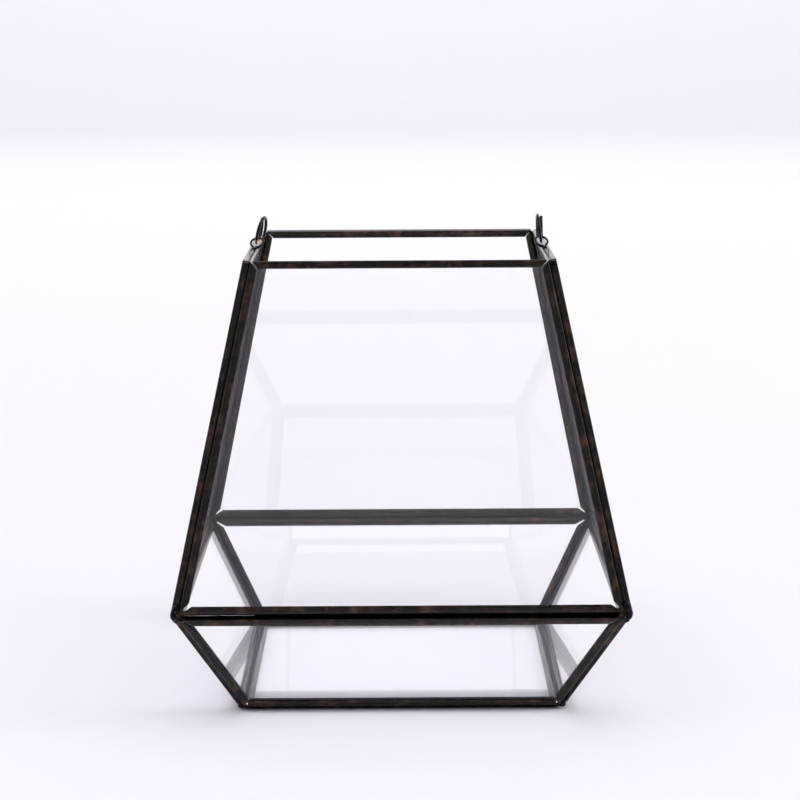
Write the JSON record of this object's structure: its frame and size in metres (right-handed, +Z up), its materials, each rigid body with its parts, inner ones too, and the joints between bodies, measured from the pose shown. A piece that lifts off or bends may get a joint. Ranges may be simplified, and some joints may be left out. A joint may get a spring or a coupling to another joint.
{
  "type": "geometric glass hanging planter",
  "caption": "Open-topped geometric glass planter: clear panes in dark metal channel, soldered as a square frustum on an inverted one, with loose wire rings for hanging.",
  "frame": {"origin": "on the floor under the middle of the square base", "axes": "+Z up through the open mouth; -Y is the front, and the hanging rings stand on the -X and +X top rails"},
  "size_m": [0.1587, 0.1587, 0.1696],
  "materials": {
    "clear_glass": "clear polished float glass",
    "blackened_channel": "blackened and lacquered, brown where it is rubbed",
    "brown_solder": "lumpy, brown patina",
    "blackened_wire": "blackened, glossy, copper showing at the rubbed foot"
  },
  "bodies": {
    "planter": {"eyelet_left": "blackened_wire", "eyelet_right": "blackened_wire", "glass_base": "clear_glass", "glass_lower_back": "clear_glass", "glass_lower_front": "clear_glass", "glass_lower_left": "clear_glass", "glass_lower_right": "clear_glass", "glass_upper_back": "clear_glass", "glass_upper_front": "clear_glass", "glass_upper_left": "clear_glass", "glass_upper_right": "clear_glass", "rail_base_back": "blackened_channel", "rail_base_front": "blackened_channel", "rail_base_left": "blackened_channel", "rail_base_right": "blackened_channel", "rail_lower_back_bottom": "blackened_channel", "rail_lower_back_left": "blackened_channel", "rail_lower_back_right": "blackened_channel", "rail_lower_back_top": "blackened_channel", "rail_lower_front_bottom": "blackened_channel", "rail_lower_front_left": "blackened_channel", "rail_lower_front_right": "blackened_channel", "rail_lower_front_top": "blackened_channel", "rail_lower_left_bottom": "blackened_channel", "rail_lower_left_left": "blackened_channel", "rail_lower_left_right": "blackened_channel", "rail_lower_left_top": "blackened_channel", "rail_lower_right_bottom": "blackened_channel", "rail_lower_right_left": "blackened_channel", "rail_lower_right_right": "blackened_channel", "rail_lower_right_top": "blackened_channel", "rail_upper_back_bottom": "blackened_channel", "rail_upper_back_left": "blackened_channel", "rail_upper_back_right": "blackened_channel", "rail_upper_back_top": "blackened_channel", "rail_upper_front_bottom": "blackened_channel", "rail_upper_front_left": "blackened_channel", "rail_upper_front_right": "blackened_channel", "rail_upper_front_top": "blackened_channel", "rail_upper_left_bottom": "blackened_channel", "rail_upper_left_left": "blackened_channel", "rail_upper_left_right": "blackened_channel", "rail_upper_left_top": "blackened_channel", "rail_upper_right_bottom": "blackened_channel", "rail_upper_right_left": "blackened_channel", "rail_upper_right_right": "blackened_channel", "rail_upper_right_top": "blackened_channel", "solder_base_back_left": "brown_solder", "solder_base_back_right": "brown_solder", "solder_base_front_left": "brown_solder", "solder_base_front_right": "brown_solder", "solder_girdle_back_left": "brown_solder", "solder_girdle_back_right": "brown_solder", "solder_girdle_front_left": "brown_solder", "solder_girdle_front_right": "brown_solder"},
    "left_ring": {"ring_left": "blackened_wire"},
    "right_ring": {"ring_right": "blackened_wire"}
  },
  "joints": [
    {"name": "left_ring_fold", "type": "hinge", "parent": "planter", "child": "left_ring", "pos_m": [-0.05097, -0.0095, 0.15947], "axis": [-0.1564, -0.9877, 0], "range_deg": [-78, 90]},
    {"name": "right_ring_fold", "type": "hinge", "parent": "planter", "child": "right_ring", "pos_m": [0.05097, -0.0095, 0.15947], "axis": [0.0523, 0.9986, 0], "range_deg": [-70, 90]}
  ]
}
